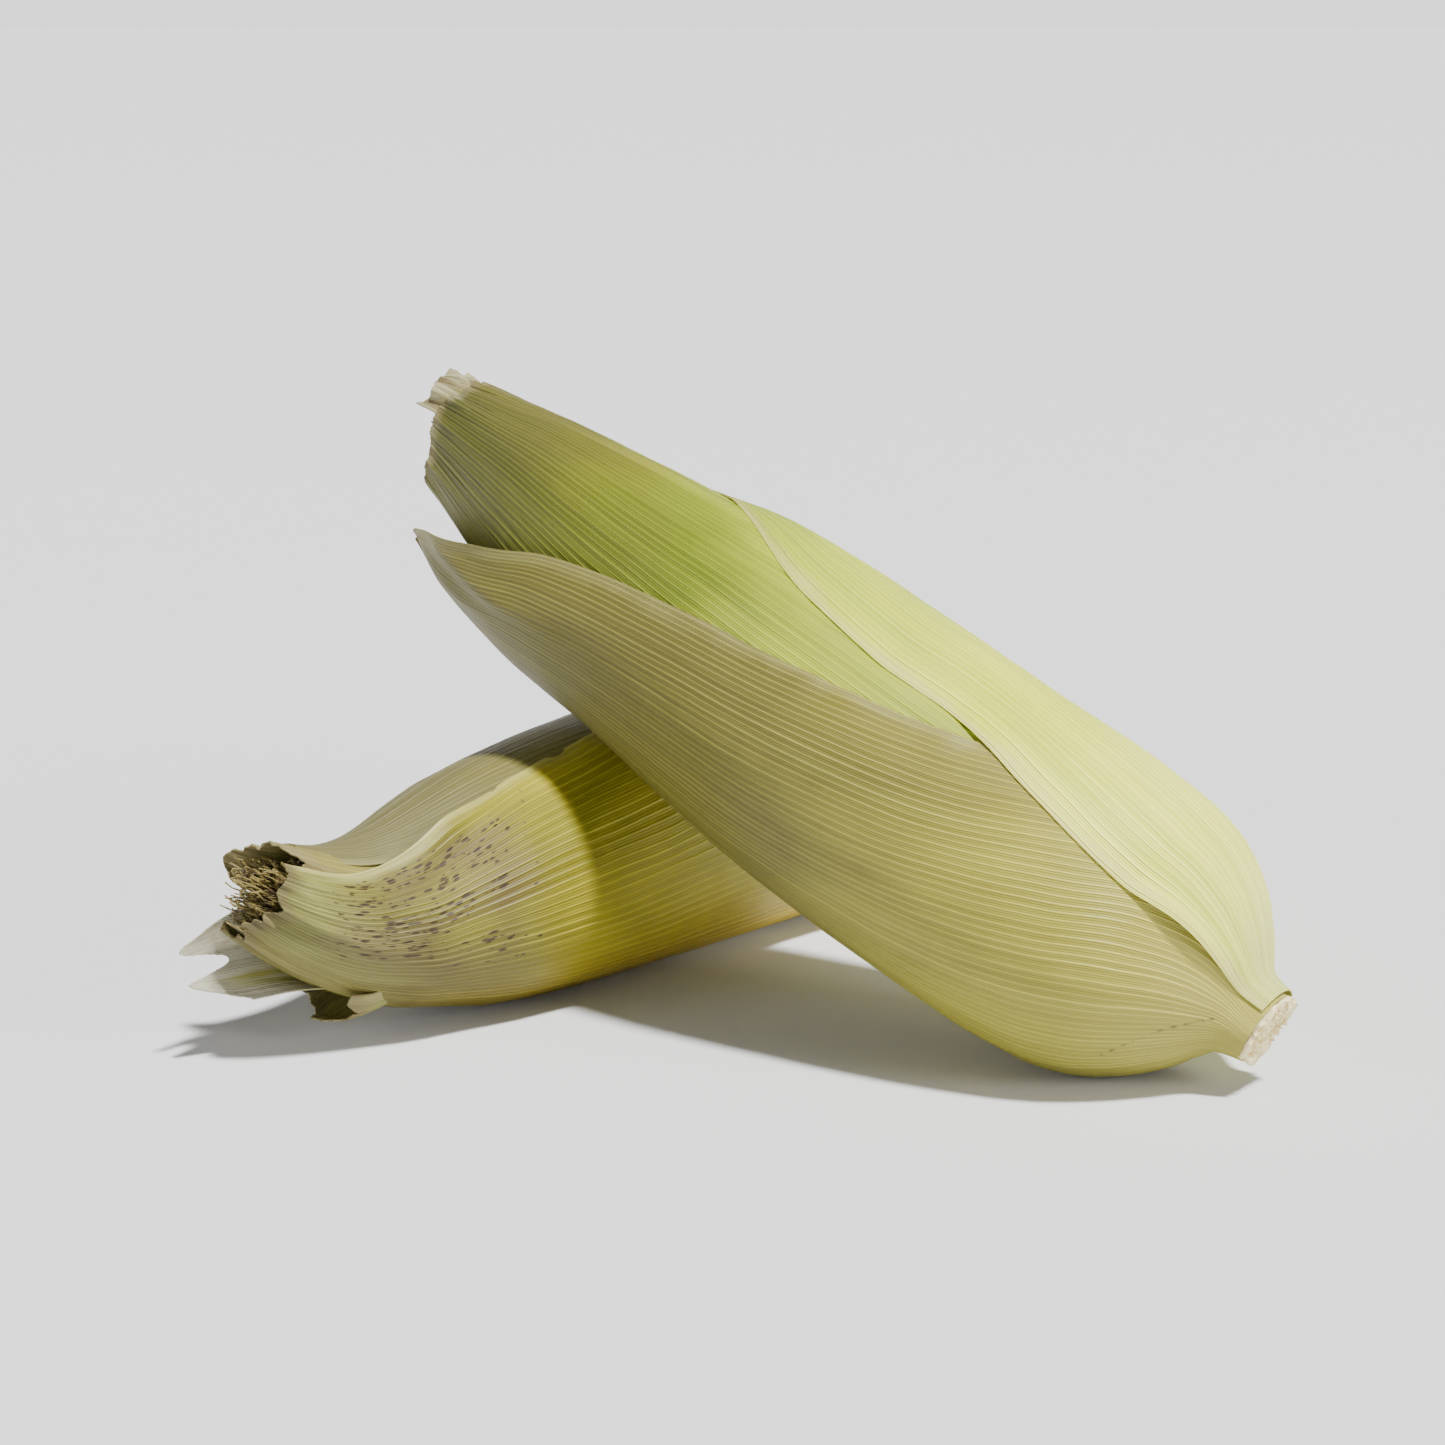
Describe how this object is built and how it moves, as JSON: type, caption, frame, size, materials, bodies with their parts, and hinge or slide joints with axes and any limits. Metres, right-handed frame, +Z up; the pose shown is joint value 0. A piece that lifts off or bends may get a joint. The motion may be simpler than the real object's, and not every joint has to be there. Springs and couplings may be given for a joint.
{
  "type": "corn cob",
  "caption": "Ears of corn in their husks, one leaning across the other; each is a cob on a cut shank, wrapped in husk leaves with silk at the tip.",
  "frame": {"origin": "on the table, under the middle of the bounding box of the two ears", "axes": "+Z up; +X to the right as seen from the front, from the silk ends to the near ear's cut shank; +Y to the back"},
  "size_m": [0.2156, 0.2123, 0.1298],
  "materials": {
    "husk_green": "satin, fibrous husk leaf",
    "husk_dull": "satin, fibrous husk leaf",
    "husk_pale": "satin, fibrous husk leaf",
    "husk_veined": "satin, fibrous husk leaf",
    "shank": "matt, cut stem",
    "kernels": "satin, kernels in rows",
    "silk": "matt, dried silk"
  },
  "bodies": {
    "root": {"near_shank": "shank", "near_cob": "kernels", "near_silk": "silk", "near_husk_over": "husk_pale", "near_husk_front": "husk_dull", "near_husk_green": "husk_green", "near_husk_back": "husk_dull", "near_husk_inner_a": "husk_pale", "near_husk_inner_b": "husk_pale", "far_shank": "shank", "far_cob": "kernels", "far_silk": "silk", "far_husk_front": "husk_veined", "far_husk_top": "husk_dull", "far_husk_under": "husk_pale", "far_husk_upper": "husk_pale", "far_husk_inner_a": "husk_pale", "far_husk_inner_b": "husk_pale"}
  },
  "joints": []
}
